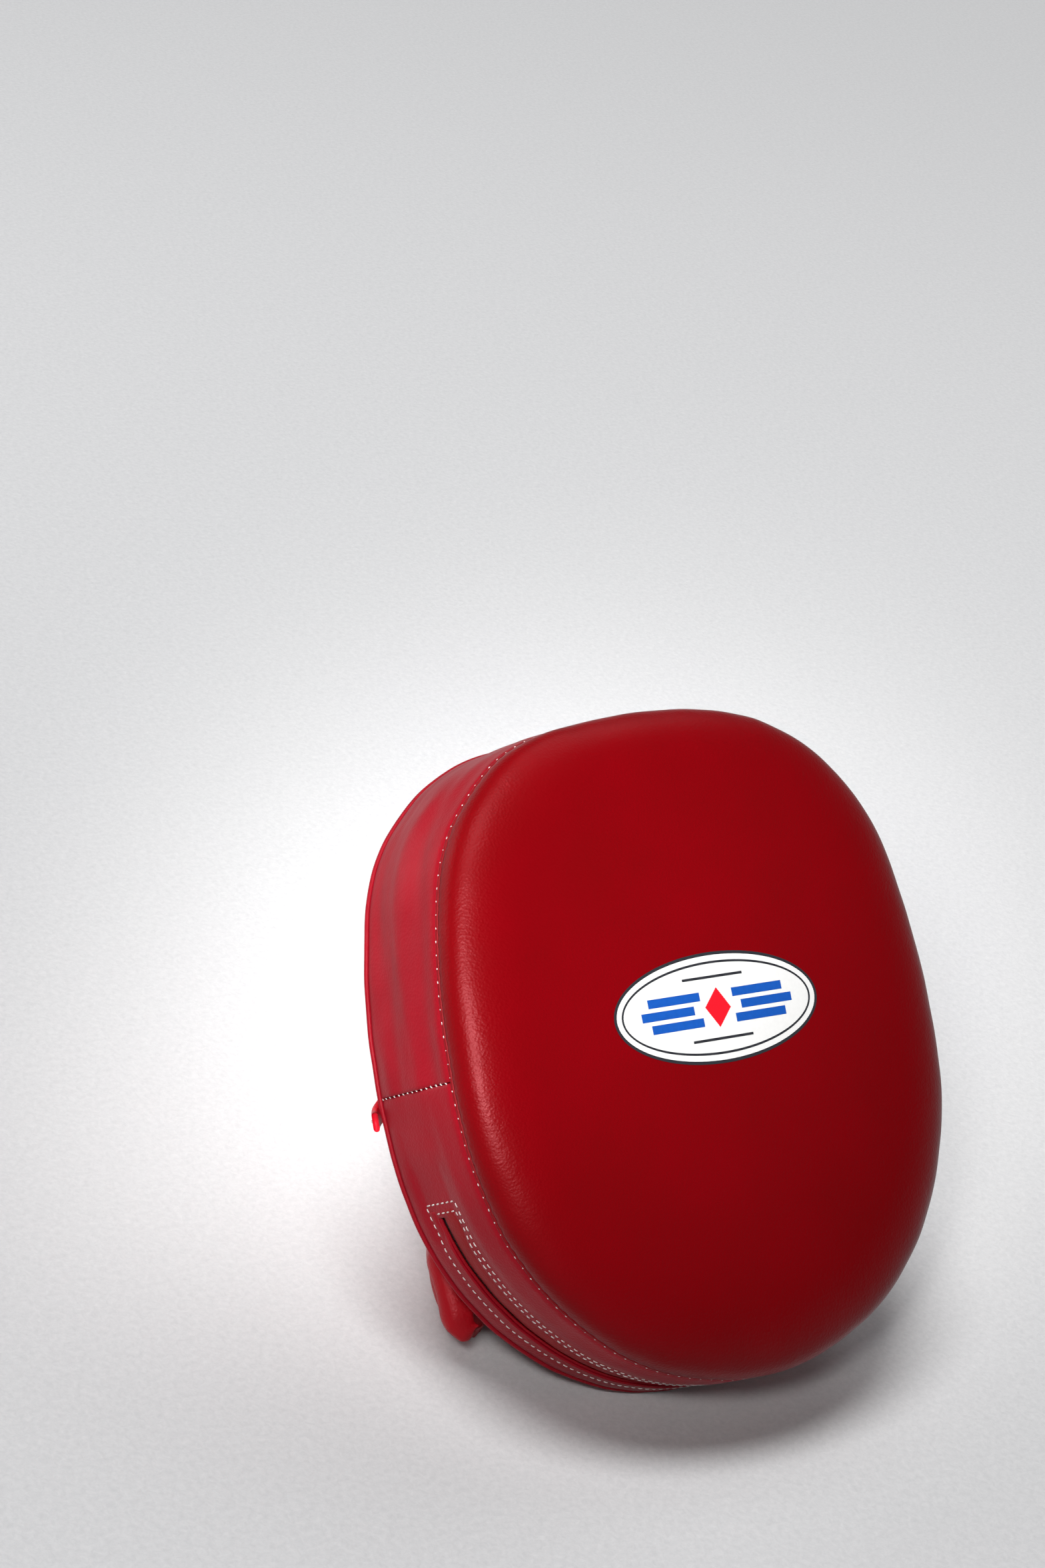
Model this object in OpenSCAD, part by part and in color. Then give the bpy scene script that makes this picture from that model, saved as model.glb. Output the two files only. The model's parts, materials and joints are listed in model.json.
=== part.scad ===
// Boxing focus mitt, one of a pair, at rest: leaning back on its wrist end and its wrist cuff.
// Every part is drawn flat, with X across the mitt, Y from wrist to finger end and Z from the
// hand side (Z = 0) to the striking face, and placed() then leans it back onto the floor.

/* [Pad] */
// Radius of the round wrist half of the outline
wrist_r = 101; // [98:0.5:104]
// Radius of the slightly bowed sides
side_r = 225; // [215:5:240]
// Radius of the two finger-end corners
corner_r = 73.5; // [70:0.5:76]
// Thickness from the hand side to the striking face
pad_t = 64.3; // [60:0.1:68]
// Height of the seam between gusset and face panel
face_seam = 49; // [46:0.5:50]
// Height of the seam between gusset and back panel
back_seam = 5; // [4:0.5:6]
// Thickness of the leather
skin = 1.3; // [1:0.1:1.5]

/* [Zip] */
// Height of the zip's middle line above the hand side
zip_z = 20.5; // [20:0.1:21.5]
// Half of the angle that the zip window takes round the wrist end
window_half = 73.5; // [72:0.5:75]
// Length of the puller
puller_l = 40; // [34:1:44]

/* [Cuff] */
// Height of the padded wrist cuff above the hand side
cuff_h = 66; // [62:1:68]
// Half width of the cuff at its foot
cuff_w = 62; // [58:1:64]
// Padding thickness at the crown of the cuff
cuff_pad = 11; // [8:1:13]
// Wrist-side edge of the cuff
cuff_y0 = -68; // [-70:1:-66]
// Finger-side edge of the cuff
cuff_y1 = -27; // [-29:1:-26]

/* [Hand panel and hood] */
// Height of the slotted hand panel at the cuff
panel_h = 53; // [50:1:54]
// Height of the finger hood above the hand side at its mouth
hood_h = 22; // [20:1:24]
// Highest point of the finger hood
hood_top = 26; // [24:1:28]
// Width of a vent slot
slot_w = 5; // [4:0.5:6]
// Length of a vent slot along the mitt
slot_l = 16; // [14:1:18]

/* [Badge] */
// Width of the oval badge on the striking face
badge_w = 88; // [70:1:95]
// Height of the oval badge
badge_h = 38; // [30:1:42]

/* [Pose] */
// Angle of the striking face from the floor when the mitt leans at rest
lean = 48.8; // [47:0.1:50]

/* [Hidden] */

red = "#a5121d";
bright_red = "#d0101c";
foam_grey = "#c9c6bd";
cloth_red = "#7a1018";
black = "#161616";
white = "#f2f1ee";

gap = 0.3;             // air between neighbouring skins
welt = 0.8;            // how far a welt stands out of its seam
welt_t = 1.6;
big = 400;

// The outline is a chain of arcs, each tangent to the next: wrist, side, corner and finger end.
side_a0 = -7.5;
side_a1 = 14.3;
corner_a1 = 81.5;
function dir(a) = [cos(a), sin(a)];
wrist_c = [0, -14];
side_c = wrist_c - (side_r - wrist_r) * dir(side_a0);
corner_c = side_c + (side_r - corner_r) * dir(side_a1);
end_r = corner_r + corner_c[0] / cos(corner_a1);
end_c = corner_c - (end_r - corner_r) * dir(corner_a1);
wrist_end = wrist_r - wrist_c[1];
finger_end = end_c[1] + end_r;
function arc(c, r, a0, a1, n) = [for (i = [0:n - 1]) c + r * dir(a0 + (a1 - a0) * i / n)];
function right_half(d) = concat(
    arc(wrist_c, wrist_r - d, -90, side_a0, 20), arc(side_c, side_r - d, side_a0, side_a1, 6),
    arc(corner_c, corner_r - d, side_a1, corner_a1, 14), arc(end_c, end_r - d, corner_a1, 90, 4));
// The outline drawn in by d, as a closed loop that starts at the wrist end.
function outline(d) = let (h = right_half(d), n = len(h)) concat(
    h, [end_c + [0, end_r - d]], [for (i = [1:n - 1]) [-h[n - i][0], h[n - i][1]]]);

// The floor, seen in the flat drawing: the lowest point is the back welt at the wrist end.
floor_z = -(wrist_end + welt) * sin(lean) + (back_seam - welt_t / 2) * cos(lean);
// Edge profile of the striking face: how far in from the outline, and how high.
face_edge = [[1, face_seam + welt_t / 2], [0, 52], [0.4, 55], [3, 58.6], [7, 61.3], [13, 63.3], [22, pad_t]];
front_y = min([for (p = face_edge) -(wrist_end - p[0]) * cos(lean) - p[1] * sin(lean)]);
rear_y = (finger_end + welt) * cos(lean) - (back_seam - welt_t / 2) * sin(lean);

module placed() translate([0, -(front_y + rear_y) / 2, -floor_z]) rotate([lean, 0, 0]) children();
module above_floor(clear) rotate([-lean, 0, 0])
    translate([-big / 2, -big / 2, floor_z + clear]) cube(big);

// ---- Soft layers of the pad ----

// A solid through rings of the outline, from a flat bottom cap to a flat top cap.
module ringed(profile) {
    rings = [for (p = profile) [for (q = outline(p[0])) [q[0], q[1], p[1]]]];
    n = len(rings[0]);
    m = len(rings);
    polyhedron(
        points = [for (r = rings) each r],
        faces = concat(
            [[for (i = [0:n - 1]) i]],
            [[for (i = [0:n - 1]) (m - 1) * n + n - 1 - i]],
            [for (k = [0:m - 2], i = [0:n - 1]) let (a = k * n, b = a + n, j = (i + 1) % n)
                each [[a + i, b + i, b + j], [a + i, b + j, a + j]]]));
}
module slab(z0, z1, d) translate([0, 0, z0]) linear_extrude(z1 - z0) polygon(outline(d));
module wall(z0, z1, d0, d1) translate([0, 0, z0]) linear_extrude(z1 - z0) difference() {
    polygon(outline(d0));
    polygon(outline(d1));
}
function reversed(v) = [for (i = [len(v) - 1:-1:0]) v[i]];
// The face's edge profile drawn in by t: straight in near the seam, and down as well where it curves over.
crown_z = 53;
function inner(profile, t) = [for (p = profile) [p[0] + t, p[1] - (p[1] > crown_z ? t * 0.9 : 0)]];

// The badge lies in a shallow recess of the face, a hair below it.
badge_y = 9.6;
badge_t = 0.45;
badge_drop = 0.05;
module badge_oval(grow) polygon([for (a = [0:7.5:352.5])
    [(badge_w / 2 + grow) * cos(a), badge_y + (badge_h / 2 + grow) * sin(a)]]);
module face_panel() color(red) placed() difference() {
    ringed(concat(reversed(inner(face_edge, skin)), face_edge));
    translate([0, 0, pad_t - badge_t - badge_drop]) linear_extrude(1) badge_oval(gap / 2);
}
module face_badge() color(white) placed()
    translate([0, 0, pad_t - badge_t - badge_drop]) linear_extrude(badge_t) badge_oval(0);
module face_foam() color(foam_grey) placed()
    ringed(concat([[skin + gap, 41.4]], inner(face_edge, skin + gap + 0.2)));
module core_foam() color(foam_grey) placed() difference() {
    slab(20.2, 41.2, skin + gap);
    zip_channel();
}
module back_foam() color(foam_grey) placed() difference() {
    slab(back_seam + 1, 20, skin + gap);
    zip_channel();
}
back_edge = [[7, 0], [4, 0.5], [1.8, 1.8], [0.6, back_seam - welt_t / 2]];
module back_panel() color(red) placed()
    ringed(concat(back_edge, [[2, back_seam - welt_t / 2], [3.4, 2.8], [7, skin]]));
module face_welt() color(bright_red) placed()
    wall(face_seam - welt_t / 2, face_seam + welt_t / 2, -welt / 2, skin + 1);
module back_welt() color(bright_red) placed()
    wall(back_seam - welt_t / 2, back_seam + welt_t / 2, -welt, skin + 1);

// The gusset is two strips that meet at a cross seam on each side.
gusset_z0 = back_seam + welt_t / 2;
gusset_z1 = face_seam - welt_t / 2;
module gusset_finger() color(red) placed() difference() {
    wall(gusset_z0, gusset_z1, 0, skin);
    translate([-big / 2, -big + gap / 2, 0]) cube([big, big, big]);
}
module gusset_wrist() color(red) placed() difference() {
    wall(gusset_z0, gusset_z1, 0, skin);
    translate([-big / 2, -gap / 2, 0]) cube([big, big, big]);
    arc_band(wrist_r - 10, wrist_r + 10, zip_z - 2.5, zip_z + 8.5, window_half);
}

// ---- Zip, on one arc round the wrist end ----

// A curved band at the wrist end: radii, heights and half angle either side of the middle.
module arc_band(r0, r1, z0, z1, half) translate([wrist_c[0], wrist_c[1], z0])
    rotate([0, 0, -90 - half]) rotate_extrude(angle = 2 * half, $fn = 180)
        translate([r0, 0]) square([r1 - r0, z1 - z0]);

lip_r = wrist_r - skin - 0.2;      // outer face of the leather lips behind the window
lip_t = 1.2;
chain_r = 95.3;                    // middle of the chain and the tapes
coil_t = 2;
coil_w = 2.2;
divider = 0.8;                     // thickness of the slider's divider, in the slit
part_gap = 0.3;
coil_gap = divider / 2 + part_gap; // half of the gap between the two coils
tape_w = 12;
zip_half = 71.7;
module zip_channel() arc_band(91.5, wrist_r + 5, zip_z - 16, zip_z + 18, window_half + 4);
module zip_fly() color(red) placed() {
    arc_band(lip_r - lip_t, lip_r, zip_z + coil_gap, zip_z + 13, window_half + 2);
    arc_band(chain_r + 0.3, lip_r - lip_t, zip_z + 10, zip_z + 13, window_half + 2);
}
module zip_lip() color(red) placed() {
    arc_band(lip_r - lip_t, lip_r, zip_z - 12, zip_z - coil_gap, window_half + 2);
    arc_band(chain_r + 0.3, lip_r - lip_t, zip_z - 12, zip_z - 9, window_half + 2);
}
// One side of the zip: z is the lower edge of its tape or coil.
module zip_tape(z) arc_band(chain_r - 0.3, chain_r + 0.3, z, z + tape_w, window_half + 1.5);
module zip_coil(z) arc_band(chain_r - coil_t / 2, chain_r + coil_t / 2, z, z + coil_w, zip_half);
module zip_tape_face() color(black) placed() zip_tape(zip_z + coil_gap + coil_w);
module zip_tape_back() color(black) placed() zip_tape(zip_z - coil_gap - coil_w - tape_w);
module zip_coil_face() color(black) placed() zip_coil(zip_z + coil_gap);
module zip_coil_back() color(black) placed() zip_coil(zip_z - coil_gap - coil_w);
stop_t = 2.4;
stop_w = coil_gap + coil_w;
stop_half = 0.6;
module zip_stops() color("silver") placed() for (s = [-1, 1]) turned(s * (zip_half + 0.1 + stop_half))
    arc_band(chain_r - stop_t / 2, chain_r + stop_t / 2, zip_z - stop_w, zip_z + stop_w, stop_half);

// Turns a piece drawn at the middle of the wrist end along the zip, towards +X for a positive angle.
module turned(a) translate([0, wrist_c[1], 0]) rotate([0, 0, a]) translate([0, -wrist_c[1], 0]) children();
slider_a = 68.5;                   // where the closed zip's slider sits
slider_half = 2.8;
plate_t = 1.3;
plate_w = 4.2;
pin_r = 0.8;
pin_at = wrist_r + 2.6;
puller_w = 3.5;
module zip_slider() color(black) placed() turned(slider_a) {
    for (r = [chain_r - coil_t / 2 - 0.3 - plate_t, chain_r + coil_t / 2 + 0.3])
        arc_band(r, r + plate_t, zip_z - plate_w, zip_z + plate_w, slider_half);
    arc_band(chain_r - coil_t / 2 - 1, pin_at, zip_z - divider / 2, zip_z + divider / 2, 1);
    translate([0, wrist_c[1] - pin_at, zip_z - puller_w]) cylinder(r = pin_r, h = 2 * puller_w, $fn = 48);
}
eye_r = 1.9;
puller_t = 1.8;
puller_tilt = 8;                   // inward, so that the tip lies near the gusset
loop_w = 1.6;
module zip_puller() color(black) placed() turned(slider_a)
    translate([0, wrist_c[1] - pin_at, zip_z]) rotate([0, 0, -puller_tilt]) difference() {
        union() {
            cylinder(r = eye_r, h = 2 * puller_w, center = true, $fn = 48);
            rotate([90, 0, 0]) linear_extrude(puller_t, center = true) polygon([
                [0, puller_w], [-10, 4.6], [-16, 4.6], [-puller_l + 3, 3.2], [-puller_l, 1.8],
                [-puller_l, -1.8], [-puller_l + 3, -3.2], [-16, -4.6], [-10, -4.6], [0, -puller_w]]);
        }
        cylinder(r = pin_r + 0.08, h = 4 * puller_w, center = true, $fn = 48);
        cube([8, 8, divider + 1.2], center = true);
        rotate([90, 0, 0]) linear_extrude(2 * puller_t, center = true) polygon([
            [-18, loop_w], [-puller_l + 3.4, loop_w], [-puller_l + 2, 0.8],
            [-puller_l + 2, -0.8], [-puller_l + 3.4, -loop_w], [-18, -loop_w]]);
    }

// ---- Padded wrist cuff ----

// The arch of the cuff and of the hand panel, from one foot to the other, h high over z = 0.
function arch(w, h, p) = [for (i = [-16:16]) let (x = w * i / 16) [x, -h * (1 - pow(abs(i) / 16, p))]];
module arch_block(w, h, p, y0, y1) translate([0, y1, 0]) rotate([90, 0, 0])
    linear_extrude(y1 - y0) polygon(arch(w, h, p));
// The filled cuff, drawn in by d all round and flattened where it rests on the floor.
module cuff_form(d, y0, y1, clear) intersection() {
    arch_block(cuff_w - d, cuff_h - d, 2, y0, y1);
    above_floor(clear + d);
}
label_t = 0.6;
edge_y = cuff_y1 - 3.2;            // where the leather of the cuff stops inside its binding
module hand_side(clear) translate([-big / 2, -big / 2, -big - clear]) cube(big);
module cuff_shell() color(red) placed() intersection() {
    difference() {
        cuff_form(0, cuff_y0, edge_y, label_t);
        cuff_form(skin, cuff_y0 + skin, edge_y + 1, label_t);
        arch_block(cuff_w - 11, cuff_h - cuff_pad - skin, 2.2, cuff_y0 - 1, edge_y + 1);
    }
    hand_side(2.6);
}
module cuff_padding() color(foam_grey) placed() intersection() {
    difference() {
        cuff_form(skin + 0.1, cuff_y0 + skin + 0.1, edge_y, label_t);
        arch_block(cuff_w - 11, cuff_h - cuff_pad - skin, 2.2, cuff_y0 - 1, edge_y + 1);
    }
    hand_side(2.6);
}
module cuff_lining() color(cloth_red) placed() intersection() {
    difference() {
        arch_block(cuff_w - 11.1, cuff_h - cuff_pad - skin - 0.1, 2.2, cuff_y0, edge_y);
        arch_block(cuff_w - 12.1, cuff_h - cuff_pad - skin - 1.1, 2.2, cuff_y0 - 1, edge_y + 1);
    }
    hand_side(2.6);
    above_floor(label_t + skin + gap);
}
module cuff_binding() color(bright_red) placed() intersection() {
    union() {
        difference() {
            cuff_form(-1, edge_y, cuff_y1, 1.6);
            arch_block(cuff_w - 4, cuff_h - 4, 2, edge_y - 1, cuff_y1 + 1);
        }
        difference() {
            cuff_form(-1, edge_y - 3, edge_y, 1.6);
            arch_block(cuff_w + 0.1, cuff_h + 0.1, 2, edge_y - 4, edge_y + 1);
        }
    }
    hand_side(2.6);
}
label_w = 26;
module cuff_label() color(white) placed() intersection() {
    difference() {
        cuff_form(-label_t, cuff_y0 + 2, edge_y - 3.4, label_t);
        cuff_form(-0.05, cuff_y0, edge_y, label_t);
    }
    translate([-label_w, -big / 2, -big]) cube([2 * label_w, big, big]);
}
flange_x0 = 50;
flange_x1 = 69;
flange_t = 2.4;
module cuff_flange(s) translate([s > 0 ? flange_x0 : -flange_x1, cuff_y0, -flange_t - 0.1])
    cube([flange_x1 - flange_x0, -8 - cuff_y0, flange_t]);
module cuff_flange_left() color(red) placed() cuff_flange(-1);
module cuff_flange_right() color(red) placed() cuff_flange(1);

// ---- Slotted hand panel, its hems and the side walls ----

// A closed sheet over a grid of nu by nv cells: at(i, j, top) gives a point of its top or under face.
module sheet(nu, nv, at) {
    m = (nu + 1) * (nv + 1);
    function up(i, j) = i * (nv + 1) + j;
    function low(i, j) = m + up(i, j);
    function face(a, b, c, d) = [[a, b, c], [a, c, d]];
    polyhedron(
        points = [for (top = [true, false], i = [0:nu], j = [0:nv]) at(i, j, top)],
        faces = concat(
            [for (i = [0:nu - 1], j = [0:nv - 1])
                each face(up(i, j), up(i + 1, j), up(i + 1, j + 1), up(i, j + 1))],
            [for (i = [0:nu - 1], j = [0:nv - 1])
                each face(low(i, j + 1), low(i + 1, j + 1), low(i + 1, j), low(i, j))],
            [for (i = [0:nu - 1]) each face(up(i, 0), low(i, 0), low(i + 1, 0), up(i + 1, 0))],
            [for (i = [0:nu - 1]) each face(up(i + 1, nv), low(i + 1, nv), low(i, nv), up(i, nv))],
            [for (j = [0:nv - 1]) each face(up(0, j + 1), low(0, j + 1), low(0, j), up(0, j))],
            [for (j = [0:nv - 1]) each face(up(nu, j), low(nu, j), low(nu, j + 1), up(nu, j + 1))]));
}
panel_y0 = cuff_y1 + gap;
panel_y1 = 1;
panel_t = 2.2;
panel_w = 68;                      // half width that the arch of the panel would reach at its feet
panel_x = [42, 38];                // half width of the panel at its cuff end and at its hood end
mouth_y = -3;                      // edge of the finger hood
tuck = 9;                          // how far the panel passes below the hood's mouth
ease = 1.6;                        // how soon the panel comes down towards the hood
function hood_arch(x) = hood_h * pow(max(0, 1 - pow(x / 100, 2)), 2);
function panel_arch(x) = panel_h * (1 - pow(abs(x) / panel_w, 2.4));
// Height of the panel's upper face at x across and v of the way from cuff to hood.
function panel_z(x, v) = let (k = pow(1 - v, ease)) -(k * panel_arch(x) + (1 - k) * (hood_arch(x) - tuck));
function panel_along(v) = panel_y0 + (panel_y1 - panel_y0) * v;
slot_x = [-33, -11, 11, 33];
slot_y = -12;
module hand_panel() color(red) placed() difference() {
    sheet(16, 6, function (i, j, top) let (
        v = j / 6, x = ((1 - v) * panel_x[0] + v * panel_x[1]) * (i / 8 - 1))
        [x, panel_along(v), panel_z(x, v) + (top ? 0 : panel_t)]);
    for (x = slot_x) translate([x, slot_y, -panel_h / 2]) rotate([0, 0, x * 0.6])
        cube([slot_w, slot_l, 80], center = true);
}
module panel_binding() color(bright_red) placed() intersection() {
    difference() {
        arch_block(panel_w + 0.9, panel_h + 1, 2.4, panel_y0 - 0.2, panel_y0 + 5);
        arch_block(panel_w + 0.1, panel_h + 0.1, 2.4, panel_y0 - 1, panel_y0 + 6);
    }
    hand_side(2.8);
    above_floor(1);
}
// The folded hem that hangs from the panel's side edge: corners at the cuff end, then at the hood end.
hem_t = 3;
hem_from = 0.2;                    // where the hem begins, clear of the panel's binding
hem_in = panel_x + [hem_t / 2 + gap, hem_t / 2 + gap];
hem_top = [[hem_in[0], panel_arch(panel_x[0])], [hem_in[1], hood_arch(panel_x[1]) - tuck]];
hem_foot = [[52, 19], [46, 5]];
module panel_hem(s) sheet(2, 4, function (i, j, top) let (
    v = hem_from + (1 - hem_from) * j / 4, k = s > 0 ? i / 2 : 1 - i / 2,
    head = (1 - v) * hem_top[0] + v * hem_top[1],
    foot = (1 - v) * hem_foot[0] + v * hem_foot[1],
    p = (1 - k) * head + k * foot)
    [s * (p[0] - (top ? 0 : hem_t / 2)), panel_along(v), -p[1] + (top ? 0 : hem_t * 0.7)]);
module panel_hem_left() color(red) placed() panel_hem(-1);
module panel_hem_right() color(red) placed() panel_hem(1);
// A low bowed wall of leather that rises from the flange and leaves the thumb a gap under the hem.
wall_x = 60;
wall_r = 5;
module side_wall(s) translate([s * wall_x, -9, -flange_t - 0.2]) rotate([90, 0, 0])
    linear_extrude(-9 - cuff_y1 - 1) intersection() {
        difference() {
            circle(wall_r, $fn = 64);
            circle(wall_r - 1.4, $fn = 64);
        }
        translate([-wall_r, -wall_r]) square([2 * wall_r, wall_r]);
    }
module side_wall_left() color(red) placed() side_wall(-1);
module side_wall_right() color(red) placed() side_wall(1);

// ---- Finger hood ----

hood_in = 9.5;                      // how far the hood's rim stays inside the outline
hood_end = finger_end - hood_in - 0.05;
hood_t = 4.5;                      // leather, padding and lining together
// Half width at y of the outline drawn in by hood_in, for the finger half.
function half_width(y) = y < side_c[1] + (side_r - hood_in) * sin(side_a1)
    ? side_c[0] + sqrt(pow(side_r - hood_in, 2) - pow(y - side_c[1], 2))
    : y < corner_c[1] + (corner_r - hood_in) * sin(corner_a1)
    ? corner_c[0] + sqrt(pow(corner_r - hood_in, 2) - pow(y - corner_c[1], 2))
    : sqrt(pow(end_r - hood_in, 2) - pow(y - end_c[1], 2));
// Height of the hood's inside, at u across (-1 to 1) and y along.
swell = 28;                        // how far from its mouth the hood is highest
function along(y) = y < mouth_y + swell
    ? hood_h - hood_t + (hood_top - hood_h) * sin(90 * (y - mouth_y) / swell)
    : (hood_top - hood_t) * cos(90 * (y - mouth_y - swell) / (hood_end - mouth_y - swell));
function dome(u, y) = along(y) * pow(1 - u * u, 1.7);
// A layer of the hood: its height over the inside, its thickness, and where it starts and ends.
module hood_layer(lift, t, y0, y1, nv) sheet(20, nv, function (i, j, top) let (
    u = i / 10 - 1, y = y0 + (y1 - y0) * sin(90 * j / nv))
    [u * half_width(y), y, -dome(u, y) - lift - (top ? t : 0)]);
module hood_shell() color(red) placed() hood_layer(3.4, 1.1, mouth_y, hood_end, 12);
module hood_padding() color(foam_grey) placed() hood_layer(1.4, 1.9, mouth_y + 0.5, hood_end, 12);
module hood_lining() color(cloth_red) placed() hood_layer(0.5, 0.8, mouth_y, hood_end, 12);
module hood_binding() color(bright_red) placed() hood_layer(hood_t + 0.1, 0.9, mouth_y, mouth_y + 6.5, 2);

face_panel();
face_badge();
face_welt();
face_foam();
core_foam();
back_foam();
gusset_finger();
gusset_wrist();
back_welt();
back_panel();
zip_fly();
zip_lip();
zip_tape_face();
zip_tape_back();
zip_coil_face();
zip_coil_back();
zip_stops();
zip_slider();
zip_puller();
cuff_shell();
cuff_padding();
cuff_lining();
cuff_binding();
cuff_label();
cuff_flange_left();
cuff_flange_right();
hand_panel();
panel_binding();
panel_hem_left();
panel_hem_right();
side_wall_left();
side_wall_right();
hood_shell();
hood_padding();
hood_lining();
hood_binding();
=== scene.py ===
"""A leather boxing focus mitt that leans back on its wrist end and its wrist cuff, on pale paper."""

import json
import math
import random

import bmesh
import bpy
from mathutils import Matrix, Vector, noise

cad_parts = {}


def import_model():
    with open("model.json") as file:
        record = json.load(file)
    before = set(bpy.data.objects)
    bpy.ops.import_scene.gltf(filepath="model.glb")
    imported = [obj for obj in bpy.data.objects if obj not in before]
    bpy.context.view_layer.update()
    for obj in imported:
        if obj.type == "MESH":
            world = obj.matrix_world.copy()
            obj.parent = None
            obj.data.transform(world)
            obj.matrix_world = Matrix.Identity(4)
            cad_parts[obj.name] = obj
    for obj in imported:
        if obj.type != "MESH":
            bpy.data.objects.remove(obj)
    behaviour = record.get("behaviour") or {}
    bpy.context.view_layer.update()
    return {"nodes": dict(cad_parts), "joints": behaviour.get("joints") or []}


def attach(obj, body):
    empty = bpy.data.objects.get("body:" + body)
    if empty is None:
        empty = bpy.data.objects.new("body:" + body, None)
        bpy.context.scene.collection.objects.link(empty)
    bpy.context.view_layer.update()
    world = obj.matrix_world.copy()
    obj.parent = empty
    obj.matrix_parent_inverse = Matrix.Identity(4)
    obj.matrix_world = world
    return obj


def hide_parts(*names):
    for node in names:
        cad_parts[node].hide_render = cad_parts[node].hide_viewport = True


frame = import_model()
scene = bpy.context.scene

# ---- The flat drawing, in mm: X across, Y from wrist to fingers, Z from hand side to striking face ----

MM = 0.001
ZIP = next(j for j in frame["joints"] if j["name"] == "zip_travel")
UP = -Vector(ZIP["axis"]).normalized()
TURN = Matrix((Vector((1, 0, 0)), UP.cross(Vector((1, 0, 0))), UP)).transposed()
WRIST_C = Vector((0, -14))
ZIP_Z = 20.5
ORIGIN = Vector(ZIP["pos_m"]) - TURN @ (Vector((0, WRIST_C.y, ZIP_Z)) * MM)


def world(p):
    """A point of the flat drawing, in metres in the row frame."""
    return ORIGIN + TURN @ (Vector(p) * MM)


def flat(p):
    """A point of the row frame, in the flat drawing."""
    return TURN.transposed() @ (Vector(p) - ORIGIN) / MM


# ---- The outline: a chain of tangent arcs from the wrist end round to the finger end ----

WRIST_R, SIDE_R, CORNER_R = 101, 225, 73.5
A0, A1, A2 = (math.radians(a) for a in (-7.5, 14.3, 81.5))


def heading(a):
    return Vector((math.cos(a), math.sin(a)))


SIDE_C = WRIST_C - (SIDE_R - WRIST_R) * heading(A0)
CORNER_C = SIDE_C + (SIDE_R - CORNER_R) * heading(A1)
END_R = CORNER_R + CORNER_C.x / math.cos(A2)
END_C = CORNER_C - (END_R - CORNER_R) * heading(A2)
ARCS = [
    (WRIST_C, WRIST_R, -math.pi / 2, A0),
    (SIDE_C, SIDE_R, A0, A1),
    (CORNER_C, CORNER_R, A1, A2),
    (END_C, END_R, A2, math.pi / 2),
]
HALF = sum(r * (b - a) for _, r, a, b in ARCS)
AROUND = 2 * HALF
CROSS_T = WRIST_R * (A0 + math.pi / 2) + SIDE_R * (-math.asin(SIDE_C.y / SIDE_R) - A0)


def rim(t):
    """Point and outward normal of the outline, t mm from the wrist end towards +X."""
    t = (t + HALF) % AROUND - HALF
    side, left = (1, t) if t >= 0 else (-1, -t)
    for c, r, a, b in ARCS:
        if left <= r * (b - a) or r == END_R:
            n = heading(a + left / r)
            p = c + r * n
            return Vector((side * p.x, p.y)), Vector((side * n.x, n.y))
        left -= r * (b - a)


def around(count):
    return [-HALF + AROUND * i / count for i in range(count)]


def wobble(t, z):
    """How far the sewn outline strays from the pattern, in mm."""
    a = 2 * math.pi * t / AROUND
    q = Vector((3 * math.cos(a), 3 * math.sin(a), z / 60))
    return 0.75 * noise.noise(q) + 0.25 * noise.noise(q * 3.1)


def edge(t, z, inset=0.0):
    """A point at height z, inset mm in from the sewn outline."""
    p, n = rim(t)
    p = p + n * (wobble(t, z) - inset)
    return Vector((p.x, p.y, z))


# ---- Mesh helpers ----


def smooth(a, b, x):
    """0 at a, 1 at b and a soft step between them."""
    x = min(1, max(0, (x - a) / (b - a)))
    return x * x * (3 - 2 * x)


def piece(name, points, faces, mats, which=None):
    """A new object from points of the flat drawing, riding on the mitt; which gives each face's material."""
    mesh = bpy.data.meshes.new(name)
    mesh.from_pydata([tuple(world(p)) for p in points], [], faces)
    for m in mats:
        mesh.materials.append(m)
    if which:
        mesh.polygons.foreach_set("material_index", which)
    mesh.polygons.foreach_set("use_smooth", [True] * len(faces))
    mesh.update()
    obj = bpy.data.objects.new(name, mesh)
    scene.collection.objects.link(obj)
    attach(obj, "mitt")
    return obj


def grid(rows, wrap=False, keep=None):
    """(points, quads) of a surface through rows of points; wrap joins the ends of each row."""
    n = len(rows[0])
    points = [p for row in rows for p in row]
    faces = []
    for k in range(len(rows) - 1):
        for i in range(n if wrap else n - 1):
            if keep and not keep(k, i):
                continue
            j = (i + 1) % n
            faces.append((k * n + i, k * n + j, (k + 1) * n + j, (k + 1) * n + i))
    return points, faces


def flipped(faces):
    return [tuple(reversed(f)) for f in faces]


def face_outwards(mesh):
    bm = bmesh.new()
    bm.from_mesh(mesh)
    bmesh.ops.recalc_face_normals(bm, faces=bm.faces)
    bm.to_mesh(mesh)
    bm.free()


def modify(obj, kind, **values):
    m = obj.modifiers.new(kind.lower(), kind)
    for key, value in values.items():
        setattr(m, key, value)
    return m


def apply_all(obj):
    dg = bpy.context.evaluated_depsgraph_get()
    mesh = bpy.data.meshes.new_from_object(obj.evaluated_get(dg))
    obj.modifiers.clear()
    obj.data = mesh


def walk(path, step, start=0.0):
    """Evenly spaced (point, tangent, normal) along a path of (point, normal) pairs."""
    out, want, done = [], start, 0.0
    for (p, n), (q, m) in zip(path, path[1:]):
        length = (q - p).length
        while length > 0 and want <= done + length:
            f = (want - done) / length
            out.append((p.lerp(q, f), (q - p) / length, n.lerp(m, f).normalized()))
            want += step
        done += length
    return out


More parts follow.
